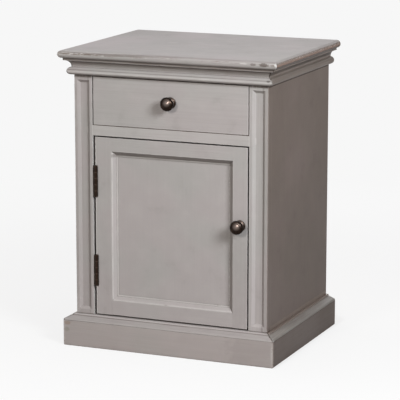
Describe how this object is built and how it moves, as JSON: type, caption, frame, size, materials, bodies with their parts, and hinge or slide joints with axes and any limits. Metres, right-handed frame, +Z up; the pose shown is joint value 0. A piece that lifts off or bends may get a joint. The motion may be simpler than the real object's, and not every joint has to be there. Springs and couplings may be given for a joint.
{
  "type": "side table with drawer and cupboard",
  "caption": "Bedside cabinet in grey painted wood: moulded top over a drawer, a framed cupboard door between sunk-panel pilasters, a capped plinth and bronze knobs.",
  "frame": {"origin": "on the floor, under the middle of the top board", "axes": "+X across the front towards the door knob, -Y out of the front, +Z up"},
  "size_m": [0.5, 0.401, 0.65],
  "materials": {
    "painted_wood": "warm grey brushed paint, satin, lightly distressed at the edges",
    "bare_wood": "bare sanded softwood and plywood, lightly sealed",
    "bronze": "dark antique bronze, rubbed on the high spots",
    "steel": "zinc-plated steel",
    "catch_plastic": "matt brown moulding"
  },
  "bodies": {
    "carcass": {"back_panel": "bare_wood", "base_cap_front": "painted_wood", "base_cap_left": "painted_wood", "base_cap_right": "painted_wood", "bottom_rail": "painted_wood", "cornice_front": "painted_wood", "cornice_left": "painted_wood", "cornice_right": "painted_wood", "cupboard_floor": "painted_wood", "divider_panel": "painted_wood", "drawer_in_stops": "bare_wood", "drawer_out_stops": "bare_wood", "hinge_frame_screws": "bronze", "left_drawer_kicker": "bare_wood", "left_drawer_runner": "bare_wood", "left_pilaster": "painted_wood", "left_side_panel": "painted_wood", "lower_hinge_frame_leaf": "bronze", "lower_hinge_pin": "bronze", "magnetic_catch": "catch_plastic", "mid_rail": "painted_wood", "plinth_back": "bare_wood", "plinth_corner_blocks": "bare_wood", "plinth_front": "painted_wood", "plinth_left": "painted_wood", "plinth_right": "painted_wood", "rear_top_rail": "bare_wood", "right_drawer_kicker": "bare_wood", "right_drawer_runner": "bare_wood", "right_pilaster": "painted_wood", "right_side_panel": "painted_wood", "shelf": "painted_wood", "shelf_pegs": "steel", "top_rail": "painted_wood", "top_screws": "steel", "top_slab": "painted_wood", "upper_hinge_frame_leaf": "bronze", "upper_hinge_pin": "bronze"},
    "drawer": {"drawer_back": "bare_wood", "drawer_bottom": "bare_wood", "drawer_front": "painted_wood", "drawer_knob": "bronze", "drawer_knob_screw": "steel", "drawer_left_side": "bare_wood", "drawer_right_side": "bare_wood"},
    "door": {"catch_strike_plate": "steel", "door_bottom_rail": "painted_wood", "door_cross_beads": "painted_wood", "door_hinge_stile": "painted_wood", "door_knob": "bronze", "door_knob_screw": "steel", "door_latch_stile": "painted_wood", "door_panel": "painted_wood", "door_top_rail": "painted_wood", "door_upright_beads": "painted_wood", "hinge_door_screws": "bronze", "lower_hinge_door_leaf": "bronze", "upper_hinge_door_leaf": "bronze"}
  },
  "joints": [
    {"name": "drawer_slide", "type": "slide", "parent": "carcass", "child": "drawer", "axis": [0, -1, 0], "range_m": [0, 0.208]},
    {"name": "door_hinge", "type": "hinge", "parent": "carcass", "child": "door", "pos_m": [-0.1735, -0.174, 0.269], "axis": [0, 0, -1], "range_deg": [0, 170]}
  ]
}
